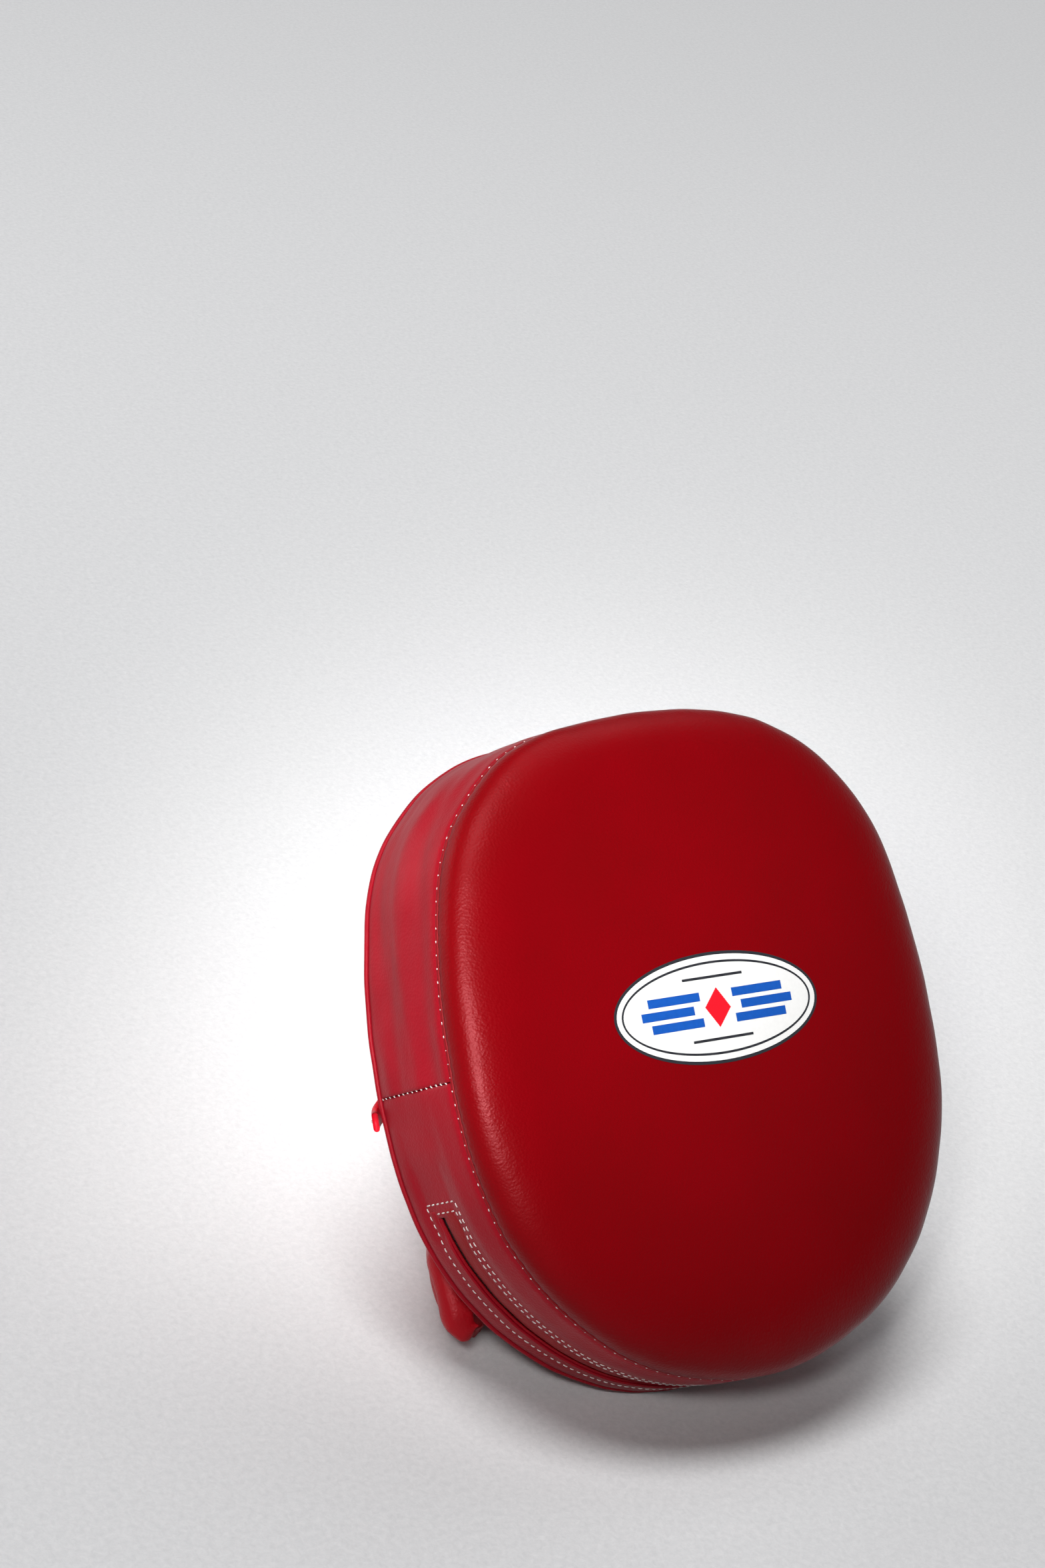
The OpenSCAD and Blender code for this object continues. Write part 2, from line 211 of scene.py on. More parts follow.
# A stitch from end to end: place along it, thickness and height, as shares of its length and thickness.
STITCH_SHAPE = [(-0.5, 0.55, -0.5), (-0.36, 0.95, 0.1), (0, 1.05, 0.42), (0.36, 0.95, 0.1), (0.5, 0.55, -0.5)]
STITCH_SIDES = 6


def polyline(corners, counts):
    """(x, y) from corner to corner, in as many steps as counts says, without the last corner."""
    out = []
    for (x0, y0), (x1, y1), n in zip(corners, corners[1:], counts):
        out += [(x0 + (x1 - x0) * i / n, y0 + (y1 - y0) * i / n) for i in range(n)]
    return out


def stitches(name, path, pitch, length=0.62, thick=0.36, lift=0.1, slant=0.0, holes=True, vary=0.07):
    """A row of sewn stitches along a path of (point, normal) pairs, with flat dark discs between them as
    painted shade for the needle holes.
    """
    points, faces, which = [], [], []
    ring, profile = STITCH_SIDES, STITCH_SHAPE
    angles = [2 * math.pi * k / ring for k in range(ring)]
    rng = random.Random(len(path) + int(pitch * 10))
    for p, along, up in walk(path, pitch, pitch * 0.5):
        side = up.cross(along).normalized()
        lean = slant + rng.uniform(-0.06, 0.06)
        along = (along * math.cos(lean) + side * math.sin(lean)).normalized()
        side = up.cross(along).normalized()
        size = length * pitch * rng.uniform(1 - vary, 1 + vary / 2)
        base = len(points)
        for s, r, h in profile:
            c = p + along * (s * size) + up * (lift + h * thick)
            for a in angles:
                points.append(c + side * (thick * r * math.cos(a)) + up * (thick * r * 0.8 * math.sin(a)))
        for s in range(len(profile) - 1):
            for k in range(ring):
                a, b = base + s * ring + k, base + s * ring + (k + 1) % ring
                faces.append((a, b, b + ring, a + ring))
                which.append(0)
        faces.append(tuple(base + k for k in reversed(range(ring))))
        faces.append(tuple(base + (len(profile) - 1) * ring + k for k in range(ring)))
        which += [0, 0]
        # Each needle hole is a flat dark disc just over the leather: painted shade for the inside of the
        # hole.
        if holes:
            for s in (-1, 1):
                base = len(points)
                c = p + along * (s * size * 0.56) + up * 0.05
                for a in angles:
                    across = side * (thick * 0.9 * math.cos(a))
                    points.append(c + across + along * (thick * 0.7 * math.sin(a)))
                faces.append(tuple(base + k for k in range(ring)))
                which.append(1)
    piece(name, points, faces, [M["thread"], M["hole_shade"]], which)


def sweep(name, path, section, mat, closed=False):
    """A strip of the cross-section, in (across, up) pairs, along a path of (point, normal) pairs."""
    n = len(section)
    rows = []
    count = len(path)
    for i, (p, up) in enumerate(path):
        before = path[(i - 1) % count if closed else max(0, i - 1)][0]
        after = path[(i + 1) % count if closed else min(count - 1, i + 1)][0]
        along = (after - before).normalized()
        side = up.cross(along).normalized()
        top = along.cross(side).normalized()
        rows.append([p + side * a + top * b for a, b in section])
    if closed:
        rows.append(rows[0])
    points, faces = grid(rows, wrap=True)
    if closed:
        points = points[: len(points) - n]
        faces = [tuple(v % len(points) for v in f) for f in faces]
    else:
        faces.append(tuple(range(n)))
        faces.append(tuple(reversed(range(len(points) - n, len(points)))))
    return piece(name, points, faces, [M[mat]])


# ---- Materials ----

M = {}


class Nodes:
    """A small writer for a material's node tree."""

    def __init__(self, name):
        self.mat = bpy.data.materials.new(name)
        self.mat.use_nodes = True
        self.tree = self.mat.node_tree
        self.tree.nodes.clear()
        self.out = self.add("ShaderNodeOutputMaterial")
        self.shader = self.add("ShaderNodeBsdfPrincipled")
        self.link(self.shader, "BSDF", self.out, "Surface")
        self.place = self.add("ShaderNodeTexCoord")
        M[name] = self.mat

    def add(self, kind, **values):
        node = self.tree.nodes.new(kind)
        for key, value in values.items():
            if hasattr(node, key):
                setattr(node, key, value)
            else:
                node.inputs[key.replace("_", " ").title()].default_value = value
        return node

    def link(self, a, out, b, into):
        self.tree.links.new(a.outputs[out], b.inputs[into])

    def set(self, **values):
        for key, value in values.items():
            self.shader.inputs[key.replace("_", " ")].default_value = value

    def texture(self, kind, scale, **values):
        node = self.add(kind, **values)
        node.inputs["Scale"].default_value = scale
        self.link(self.place, "Object", node, "Vector")
        return node

    def ramp(self, source, out, low, high):
        node = self.add("ShaderNodeValToRGB")
        self.link(source, out, node, "Fac")
        for stop, (at, color) in zip(node.color_ramp.elements, (low, high)):
            stop.position = at
            stop.color = (*color, 1)
        return node

    def paint(self, source, out, low, high):
        self.link(self.ramp(source, out, low, high), "Color", self.shader, "Base Color")

    def bump(self, source, out, strength, distance, before=None):
        node = self.add("ShaderNodeBump")
        node.inputs["Strength"].default_value = strength
        node.inputs["Distance"].default_value = distance
        self.link(source, out, node, "Height")
        if before:
            self.link(before, "Normal", node, "Normal")
        return node


def leather(name, dark, light, rough=0.42, sheen=0.0, crease=0.25, spec=0.3):
    """Finished leather: fine pebbled grain, faint wrinkles, a little mottling in colour and gloss."""
    w = Nodes(name)
    mottle = w.texture("ShaderNodeTexNoise", 22, Detail=5.0, Roughness=0.6)
    w.paint(mottle, "Fac", (0.3, dark), (0.7, light))
    cells = w.texture("ShaderNodeTexVoronoi", 1150, feature="SMOOTH_F1", Smoothness=0.55, Randomness=1.0)
    fine = w.texture("ShaderNodeTexNoise", 2600, Detail=3.0, Roughness=0.6)
    folds = w.texture("ShaderNodeTexNoise", 210, Detail=4.0, Roughness=0.62, Distortion=0.6)
    gloss = w.ramp(mottle, "Fac", (0.25, (rough + 0.05,) * 3), (0.75, (rough - 0.05,) * 3))
    w.link(gloss, "Color", w.shader, "Roughness")
    b1 = w.bump(folds, "Fac", crease, 0.0005)
    b2 = w.bump(cells, "Distance", 0.34, 0.00022, b1)
    b3 = w.bump(fine, "Fac", 0.2, 0.0001, b2)
    w.link(b3, "Normal", w.shader, "Normal")
    w.set(Sheen_Weight=sheen, Sheen_Roughness=0.4, Sheen_Tint=(1.0, 0.55, 0.55, 1))
    w.set(Specular_IOR_Level=spec, Specular_Tint=(1.0, 0.35, 0.38, 1))


leather("face_leather", (0.116, 0.0002, 0.0012), (0.131, 0.0003, 0.0018), rough=0.36, spec=0.15)
leather("gusset_leather", (0.170, 0.0014, 0.006), (0.212, 0.0020, 0.008), rough=0.42, spec=0.24)
leather("back_leather", (0.28, 0.002, 0.006), (0.34, 0.003, 0.009), rough=0.45, sheen=0.03)
leather("cuff_leather", (0.24, 0.002, 0.005), (0.30, 0.003, 0.008), rough=0.42, crease=0.5)
leather("binding_leather", (0.45, 0.003, 0.012), (0.55, 0.005, 0.016), rough=0.40)
leather("lip_leather", (0.15, 0.0008, 0.002), (0.19, 0.0012, 0.003), rough=0.5, spec=0.25)
# Painted shade: this dark leather colours the face seam's cord, so that it stands for the shadow in the
# seam's fold.
leather("seam_shade_leather", (0.12, 0.001, 0.003), (0.15, 0.0015, 0.004), rough=0.5, spec=0.25)


WEAVE = 1300 / 6.3


def cloth(name, dark, light):
    """Woven cloth: two crossed sets of threads."""
    w = Nodes(name)
    weave_a = w.texture("ShaderNodeTexWave", WEAVE, wave_type="BANDS", bands_direction="X")
    weave_b = w.texture("ShaderNodeTexWave", WEAVE, wave_type="BANDS", bands_direction="Z")
    both = w.add("ShaderNodeMath", operation="MAXIMUM")
    w.tree.links.new(weave_a.outputs["Fac"], both.inputs[0])
    w.tree.links.new(weave_b.outputs["Fac"], both.inputs[1])
    w.paint(both, "Value", (0.2, dark), (0.9, light))
    w.link(w.bump(both, "Value", 0.5, 0.0003), "Normal", w.shader, "Normal")
    w.set(Roughness=0.85, Sheen_Weight=0.2)


cloth("lining_cloth", (0.20, 0.012, 0.02), (0.32, 0.02, 0.03))
cloth("zip_tape", (0.008, 0.008, 0.009), (0.03, 0.03, 0.032))


def plain(name, color, rough, metal=0.0, bump=0.0, scale=600, spread=0.06, spec=0.5):
    """One colour with small spots a little darker and lighter, and fine bumps."""
    w = Nodes(name)
    spots = w.texture("ShaderNodeTexNoise", scale, Detail=4.0)
    low = tuple(max(0, c * (1 - spread)) for c in color)
    high = tuple(min(1, c * (1 + spread)) for c in color)
    w.paint(spots, "Fac", (0.3, low), (0.7, high))
    if bump:
        w.link(w.bump(spots, "Fac", bump, 0.0003), "Normal", w.shader, "Normal")
    w.set(Roughness=rough, Metallic=metal, Specular_IOR_Level=spec)


plain("thread", (0.46, 0.405, 0.39), 0.75, bump=0.4, scale=2500)
# Painted shade: the near-black colour of the needle-hole discs stands for the shadow inside each hole.
plain("hole_shade", (0.045, 0.002, 0.004), 0.9)
plain("foam", (0.74, 0.72, 0.67), 0.95, bump=0.6, scale=1500)
plain("dense_foam", (0.30, 0.30, 0.31), 0.95, bump=0.6, scale=1500)
plain("zip_black", (0.012, 0.012, 0.013), 0.36, bump=0.08, scale=900, spread=0.3)
plain("zip_nylon", (0.016, 0.016, 0.018), 0.45)
plain("zip_steel", (0.45, 0.45, 0.46), 0.35, metal=1.0)
plain("print_white", (0.52, 0.52, 0.515), 0.42, bump=0.12, scale=700, spread=0.02, spec=0.25)
plain("print_black", (0.015, 0.016, 0.02), 0.42, spec=0.25)
plain("print_blue", (0.004, 0.055, 0.27), 0.42, spec=0.25)
plain("print_red", (0.62, 0.004, 0.012), 0.42, spec=0.25)
plain("label_white", (0.78, 0.79, 0.79), 0.5, bump=0.3, scale=1400, spread=0.02)


def middle(rows, rings, height, blend):
    """(points, faces) of closed rows of points and of the flat middle that fills the last of them."""
    last, n = rows[-1], len(rows[-1])
    for k in range(rings - 1, 0, -1):
        f = k / rings
        row = []
        for p in last:
            x, y = p.x * f, p.y * f
            row.append(Vector((x, y, p.z + (height(x, y) - p.z) * smooth(1, blend, f))))
        rows.append(row)
    points, faces = grid(rows, wrap=True)
    base = len(points) - n
    points.append(Vector((0, 0, height(0, 0))))
    faces += [(base + i, base + (i + 1) % n, len(points) - 1) for i in range(n)]
    return points, faces


# ---- Striking face ----

PAD_T = 64.3
SHOULDER = 52
CROWN = 26
STITCH = 4.5
AROUND_STEPS = 704
# The face's turned-in edge at the seam, from inside to the shoulder: height and inset.
FACE_EDGE = [(46.6, 2.6), (47.7, 1.5), (48.4, 0.9), (49.0, 0.55), (49.6, 0.25), (50.4, 0.02), (51.2, -0.05)]
FACE_EDGE.append((SHOULDER, -0.05))


def face_z(x, y):
    """Height of the flat middle of the striking face."""
    r = math.hypot(x, y)
    w = smooth(78, 50, r)
    q = Vector((x / 46, y / 46, 3.7))
    return PAD_T + 0.35 * smooth(80, 0, r) + w * (0.38 * noise.noise(q) + 0.12 * noise.noise(q * 2.3))


def crown_at(d, p=2.25):
    """Height of the face's edge at d in from the outline."""
    return SHOULDER + (PAD_T - SHOULDER) * (1 - ((CROWN - d) / CROWN) ** p) ** (1 / p)


def pucker(t, near):
    """How far the leather is pulled in between two stitches of the face's seam."""
    return 0.2 * near * (0.5 + 0.5 * math.cos(2 * math.pi * t / STITCH))


def make_face():
    ts = around(AROUND_STEPS)
    rows = []
    for z, d in FACE_EDGE:
        rows.append([edge(t, z, d + pucker(t, smooth(46, 49, z) * smooth(53, 49.5, z))) for t in ts])
    steps = 26
    for k in range(1, steps + 1):
        d = CROWN * (1 - math.cos(math.pi / 2 * k / steps)) ** 1.15
        row = []
        for t in ts:
            p = edge(t, crown_at(min(d, CROWN)), d)
            q = Vector((p.x / 30, p.y / 30, 1.3))
            p.z += 0.3 * noise.noise(q) * smooth(0, 8, d)
            row.append(p)
        rows.append(row)
    points, faces = middle(rows, 30, face_z, 0.7)
    obj = piece("striking_face", points, faces, [M["face_leather"]])
    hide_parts("face_panel")


make_face()

# ---- Gusset ----

WINDOW_T = WRIST_R * math.radians(73.5)
WINDOW_Z = (18.2, 28.8)
Z_LOW, Z_HIGH = 5.3, 48.5


def creases(t, z):
    """Soft folds that run along the gusset."""
    a = 2 * math.pi * t / AROUND
    q = Vector((2.2 * math.cos(a), 2.2 * math.sin(a), z / 13 + 0.4))
    fold = noise.noise(q) * 1.3 + 0.22 * noise.noise(q * 2.3)
    strength = 0.5 + 0.9 * smooth(170, 250, abs(t))
    return fold * strength * smooth(Z_LOW, 14, z) * smooth(Z_HIGH, 40, z)


def gusset(t, z, extra=0.0):
    """A point of the gusset: it bulges a little, is pulled in at its seams and lies flat by the window."""
    mid = (z - 27) / 22
    d = -0.9 * (1 - mid * mid) + 0.9 * smooth(46.5, 48.5, z) + 0.7 * smooth(7.5, 5.3, z)
    d += pucker(t, smooth(45, 48, z)) - creases(t, z)
    flatten = smooth(WINDOW_T + 50, WINDOW_T + 20, abs(t)) * smooth(10, 14, z) * smooth(38, 33, z)
    under_puller = smooth(WINDOW_T + 24, WINDOW_T + 12, abs(t)) * smooth(WINDOW_T - 12, WINDOW_T - 5, abs(t))
    under_puller *= smooth(11, 15, z) * smooth(34, 29, z)
    cross_seam = 0.3 * math.exp(-((abs(t) - CROSS_T) / 1.4) ** 2)
    d = d * (1 - 0.8 * flatten) + 0.75 * under_puller + cross_seam
    return edge(t, z, d + extra)


def gusset_normal(t):
    _, n = rim(t)
    return Vector((n.x, n.y, 0))


def make_gusset(name, t0, t1, node, window=False):
    count = round((t1 - t0) / 1.2)
    ts = [t0 + (t1 - t0) * i / count for i in range(count + 1)]
    if window:
        for end in (-WINDOW_T, WINDOW_T):
            near = min(range(len(ts)), key=lambda i: abs(ts[i] - end))
            ts[near] = end
    zs = [Z_LOW - 1.2, Z_LOW, 6.0, 6.8, 8, 9.5, 11, 12.5, 14, 15.2, 16.2, 17, 17.7, WINDOW_Z[0]]
    zs += [19.5, 21, 22.5, 24, 25.5, 27, 28, WINDOW_Z[1], 29.3, 30, 30.8, 31.6, 32.6]
    zs += [34, 35.5, 37, 38.5, 40, 41.5, 43, 44.3, 45.4, 46.3, 47.1, 47.8, Z_HIGH]
    rows = [[gusset(t, z, 1.2 if z < Z_LOW else 0) for t in ts] for z in zs]
    rows.append([gusset(t, Z_HIGH, 1.4) for t in ts])

    def keep(k, i):
        if not window or k + 1 >= len(zs):
            return True
        high_enough = WINDOW_Z[0] - 0.01 <= zs[k] and zs[k + 1] <= WINDOW_Z[1] + 0.01
        return not (high_enough and -WINDOW_T - 0.01 <= ts[i] and ts[i + 1] <= WINDOW_T + 0.01)

    points, faces = grid(rows, keep=keep)
    obj = piece(name, points, faces, [M["gusset_leather"]])
    modify(obj, "SOLIDIFY", thickness=1.2 * MM, offset=-1)
    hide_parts(node)


make_gusset("gusset_wrist_leather", -CROSS_T + 0.15, CROSS_T - 0.15, "gusset_wrist", window=True)
make_gusset("gusset_finger_leather", CROSS_T + 0.15, AROUND - CROSS_T - 0.15, "gusset_finger")

# ---- Seams ----


def ring_path(z, inset, tilt=0.0, t0=-HALF, t1=HALF):
    """A path round the outline in half-millimetre steps, with normals that tilt towards the striking face."""
    count = round((t1 - t0) / 0.5)
    path = []
    for i in range(count + 1):
        t = t0 + (t1 - t0) * i / count
        _, n = rim(t)
        up = Vector((n.x * math.cos(tilt), n.y * math.cos(tilt), math.sin(tilt)))
        path.append((edge(t, z, inset), up))
    return path


def circle(r, n):
    return [(r * math.cos(2 * math.pi * k / n), r * math.sin(2 * math.pi * k / n)) for k in range(n)]


def make_welt(name, z, inset, r, mat, node):
    obj = sweep(name, ring_path(z, inset)[:-1], circle(r, 10), mat, closed=True)
    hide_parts(node)


def seam_thread(name, path, pitch, thick, lift, vary):
    stitches(name, path, pitch, length=0.2, thick=thick, lift=lift, holes=False, vary=vary)


# The face seam's cord takes the dark leather of painted shade for the shadow in the fold.
make_welt("face_seam_edge", 48.75, 0.75, 0.75, "seam_shade_leather", "face_welt")
make_welt("back_seam_edge", 5.0, 0.35, 0.95, "gusset_leather", "back_welt")
seam_thread("face_seam_thread", ring_path(48.7, 0.15, 0.3), STITCH, 0.27, -0.02, 0.6)
seam_thread("back_seam_thread", ring_path(5.3, 0.3, -0.3), 4.2, 0.3, 0.0, 0.45)

# ---- Back panel ----


def back_z(x, y):
    q = Vector((x / 38, y / 38, 9.1))
    return 0.05 + 0.45 * (0.5 + 0.5 * noise.noise(q)) * smooth(96, 70, math.hypot(x, y))


def make_back():
    ts = around(AROUND_STEPS)
    rows = [[edge(t, z, d) for t in ts] for z, d in ((6.0, 2.2), (5.2, 1.2), (4.5, 0.5))]
    for k in range(1, 15):
        d = 0.3 + 9 * (1 - math.cos(math.pi / 2 * k / 14))
        z = 4.2 * (1 - (1 - ((9.3 - d) / 9) ** 2.2) ** (1 / 2.2))
        rows.append([edge(t, z, d) for t in ts])
    points, faces = middle(rows, 20, back_z, 0.85)
    faces = flipped(faces)
    obj = piece("back_leather_panel", points, faces, [M["back_leather"]])
    modify(obj, "SOLIDIFY", thickness=1.1 * MM, offset=-1)
    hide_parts("back_panel")


make_back()

# ---- Foam inside the pad ----

# Half of a foam sheet's rounded edge, from its face: depth below the face and extra inset.
FOAM_EDGE = [(0, 1.5), (0.5, 0.4), (1.5, 0)]


def make_foam(name, node, mat, z0, z1, inset):
    count = AROUND_STEPS // 4
    ts = around(count)
    rows = [[edge(t, z0 + a, inset + b) for t in ts] for a, b in FOAM_EDGE]
    rows += [[edge(t, z1 - a, inset + b) for t in ts] for a, b in reversed(FOAM_EDGE)]
    points, faces = grid(rows, wrap=True)
    faces.append(tuple(reversed(range(count))))
    faces.append(tuple(range(len(points) - count, len(points))))
    obj = piece(name, points, faces, [M[mat]])
    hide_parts(node)


make_foam("foam_face_layer", "face_foam", "foam", 42, 60.5, 12)
make_foam("foam_core_layer", "core_foam", "dense_foam", 21, 41.5, 15)
make_foam("foam_back_layer", "back_foam", "foam", 6.5, 20.5, 15)

# ---- Badge: an oval print with plain bars and a lozenge ----

BADGE_Y = 9.6
WHITE, BLACK, BLUE, RED = range(4)
PRINTS = ("print_white", "print_black", "print_blue", "print_red")


def on_face(x, y, lift):
    """A point lift mm above the striking face, from the badge's middle."""
    return Vector((x, BADGE_Y + y, face_z(x, BADGE_Y + y) + lift))


def make_badge():
    points, faces, which = [], [], []

    def oval(a, b, lift, mat, inner=(0, 0)):
        """An oval with half axes a and b, or a ring where inner gives its hole's half axes."""
        rings, n = 10, 96
        start = len(points)
        for k in range(rings + 1):
            f = k / rings
            ra, rb = inner[0] + (a - inner[0]) * f, inner[1] + (b - inner[1]) * f
            for i in range(n):
                g = 2 * math.pi * i / n
                points.append(on_face(ra * math.cos(g), rb * math.sin(g), lift))
        for k in range(rings):
            for i in range(n):
                j = (i + 1) % n
                near, far = start + k * n, start + (k + 1) * n
                faces.append((near + i, far + i, far + j, near + j))
                which.append(mat)

    def bar(path, width, lift, mat):
        """A flat band along a list of (x, y), width as a function of 0 to 1."""
        start, n = len(points), len(path)
        for i, (x, y) in enumerate(path):
            xb, yb = path[max(0, i - 1)]
            xa, ya = path[min(n - 1, i + 1)]
            length = math.hypot(xa - xb, ya - yb)
            nx, ny = -(ya - yb) / length, (xa - xb) / length
            w = width(i / (n - 1)) / 2
            points.append(on_face(x + nx * w, y + ny * w, lift))
            points.append(on_face(x - nx * w, y - ny * w, lift))
        for i in range(n - 1):
            a = start + 2 * i
            faces.append((a, a + 1, a + 3, a + 2))
            which.append(mat)

    ink = 0.2
    oval(44, 19, 0.12, BLACK)
    oval(42.9, 17.9, 0.16, WHITE)
    oval(40.9, 15.9, ink, BLACK, inner=(40.1, 15.1))
    lozenge = [(0.6 * (i / 6 - 1), 6.8 * (i / 6 - 1)) for i in range(13)]
    bar(lozenge, lambda f: 11.0 * (1 - abs(2 * f - 1)) + 0.02, ink, RED)
    for side in (-1, 1):
        for y, near, far in ((4.4, 7.0, 29.0), (0.0, 10.2, 32.5), (-4.4, 7.0, 29.0)):
            x0, x1 = side * near, side * far
            bar([(x0 + (x1 - x0) * i / 12, y) for i in range(13)], lambda f: 3.0, ink, BLUE)
    for y in (10.6, -10.6):
        bar([(13 * (i / 10 - 1), y) for i in range(21)], lambda f: 0.9, ink, BLACK)
    obj = piece("oval_badge", points, faces, [M[name] for name in PRINTS], which=which)
    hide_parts("face_badge")


make_badge()

# ---- Zip window ----

LIP_STEPS = 260
LIP_GAP = (ZIP_Z - 1.7, ZIP_Z + 0.4)


def window_path(z_lo, z_hi, half):
    """Once round a stitched frame, from the start of its top edge."""
    corners = [(-half, z_hi), (half, z_hi), (half, z_lo), (-half, z_lo), (-half, z_hi)]
    pts = polyline(corners, (LIP_STEPS, 12, LIP_STEPS, 12)) + corners[:1]
    return [(gusset(t, z), gusset_normal(t)) for t, z in pts]


def frame_thread(name, path):
    stitches(name, path, 2.9, length=0.62, thick=0.25, lift=0.03, slant=0.12, vary=0.2)


frame_thread("zip_frame_outer_thread", window_path(14.2, 32.4, WRIST_R * math.radians(76.3)))
inner_frame = window_path(16.9, 30.0, WRIST_R * math.radians(74.4))
frame_thread("zip_frame_inner_thread", inner_frame[-12:] + inner_frame[:273])


def make_lip(name, node, z0, z1, mat):
    """One of the two leather lips over the zip, bowed out a little between its edges."""
    half = WRIST_R * math.radians(75)
    ts = [-half + 2 * half * i / LIP_STEPS for i in range(LIP_STEPS + 1)]
    rows = []
    zs = [z0 + (z1 - z0) * k / 12 for k in range(13)]
    for z in zs:
        f = (z - z0) / (z1 - z0)
        row = []
        for t in ts:
            d = 1.1 - 0.7 * math.sin(math.pi * f) - 0.12 * noise.noise(Vector((t / 9, z / 5, 2)))
            row.append(edge(t, z, d))
        rows.append(row)
    points, faces = grid(rows)
    obj = piece(name, points, faces, [M[mat]])
    modify(obj, "SOLIDIFY", thickness=1.1 * MM, offset=-1)
    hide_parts(node)


make_lip("zip_fly_leather", "zip_fly", LIP_GAP[1], 31.5, "lip_leather")
make_lip("zip_lip_leather", "zip_lip", 12.5, LIP_GAP[0], "gusset_leather")
half_slit = WRIST_R * math.radians(71.8)
for z, name in ((LIP_GAP[1], "zip_fly_edge"), (LIP_GAP[0], "zip_lip_edge")):
    path = ring_path(z, 1.4, t0=-half_slit, t1=half_slit)
    sweep(name, path, circle(0.22, 8), "lip_leather")

# ---- Gusset cross seams ----

for s, side in ((-1, "left"), (1, "right")):
    path = [(gusset(s * CROSS_T, 5.5 + 43 * i / 60), gusset_normal(s * CROSS_T)) for i in range(61)]
    stitches("cross_seam_thread_" + side, path, 2.8, length=0.5, thick=0.26, lift=0.0, slant=0.8 * s)

# ---- Padded wrist cuff ----

CUFF_W, CUFF_H = 62, 66
CUFF_Y = (-68, -27)
FLOOR_GAP = 0.7
SIM_FRAMES = 20


def arch(u, w, h, p=2.0):
    """(x, z) and outward (nx, nz) of an arch over the hand side; u runs from -1 to 1."""
    a = abs(u)
    x, z = w * u, -h * (1 - a**p)
    slope = h * p * a ** (p - 1) / w * (1 if u >= 0 else -1)
    n = Vector((slope, -1)).normalized()
    return Vector((x, z)), n


def above_floor(p, gap):
    """p, lifted to at least gap mm over the floor."""
    w = world(p)
    short = gap * MM - w.z
    return flat(w + Vector((0, 0, short))) if short > 0 else Vector(p)


def cuff_point(u, y, depth):
    """A point depth mm inside the cuff's outer arch."""
    (x, z), n = arch(u, CUFF_W, CUFF_H)
    return Vector((x - n.x * depth, y, z - n.y * depth))


def cuff_section():
    """(y, depth) round the padding: outer face, wrist edge, lining side, finger edge."""
    y0, y1 = CUFF_Y[0] + 6, CUFF_Y[1] - 3
    pts = [(y1 + (y0 - y1) * i / 14, -0.9 * math.sin(math.pi * i / 14)) for i in range(15)]
    pts += [(y0 - 6 * math.sin(math.pi * i / 10), 6 - 6 * math.cos(math.pi * i / 10)) for i in range(1, 10)]
    pts += [(y0 + (y1 - y0) * i / 12, 12 + 0.5 * math.sin(math.pi * i / 12)) for i in range(13)]
    pts += [(y1 + 1.2 * math.sin(math.pi * i / 6), 12 * (1 - i / 6)) for i in range(1, 6)]
    return pts


def crumple(p, u):
    """The cuff is pushed out and folded where the mitt's weight squashes its wrist-side corners."""
    side = -1 if u < 0 else 1
    share = 1.0 if side < 0 else 0.45
    foot = share * smooth(1.03, 0.9, abs(u))
    reach = foot * smooth(0.3, 0.72, abs(u))
    out = 25 * reach * smooth(-30, -54, p.y) * (1 - 0.8 * smooth(-64, -75, p.y))
    down = 21 * foot * smooth(0.1, 0.5, abs(u)) * smooth(-52, -73, p.y)
    p = p + Vector((side * out, -down, 0))
    q = Vector((p.x / 14, p.y / 14, p.z / 9))
    fold = math.sin(2.4 * noise.noise(q * 0.7) + p.z / 2.6) * reach * smooth(-40, -62, p.y)
    pinch = math.exp(-((p.x - side * 66) / 3.5) ** 2) * reach
    return p + Vector((side * 0.9, -0.6, 0)) * fold * 2.6 + Vector((side * -0.6, 0.8, 0)) * pinch * 4.5


def simulate(obj, pressure, cap, voxel):
    """Swells a closed mesh by cloth pressure, moves no point further than cap mm, and smooths it."""
    modify(obj, "REMESH", mode="VOXEL", voxel_size=voxel * MM)
    apply_all(obj)
    start = [v.co.copy() for v in obj.data.vertices]
    m = modify(obj, "CLOTH")
    s = m.settings
    s.quality = 6
    s.mass = 0.15
    s.use_pressure = True
    s.uniform_pressure_force = pressure
    s.tension_stiffness = s.compression_stiffness = 12
    s.bending_stiffness = 0.6
    s.effector_weights.gravity = 0
    m.point_cache.frame_start, m.point_cache.frame_end = 1, SIM_FRAMES
    for f in range(1, SIM_FRAMES + 1):
        scene.frame_set(f)
    dg = bpy.context.evaluated_depsgraph_get()
    moved = [v.co.copy() for v in obj.evaluated_get(dg).data.vertices]
    obj.modifiers.clear()
    scene.frame_set(1)
    for v, a, b in zip(obj.data.vertices, start, moved):
        step = b - a
        v.co = a + step * min(1, cap * MM / max(step.length, 1e-9))
    modify(obj, "CORRECTIVE_SMOOTH", factor=0.4, iterations=3, use_only_smooth=True)
    modify(obj, "SUBSURF", levels=1, render_levels=1)
    apply_all(obj)
    obj.data.polygons.foreach_set("use_smooth", [True] * len(obj.data.polygons))


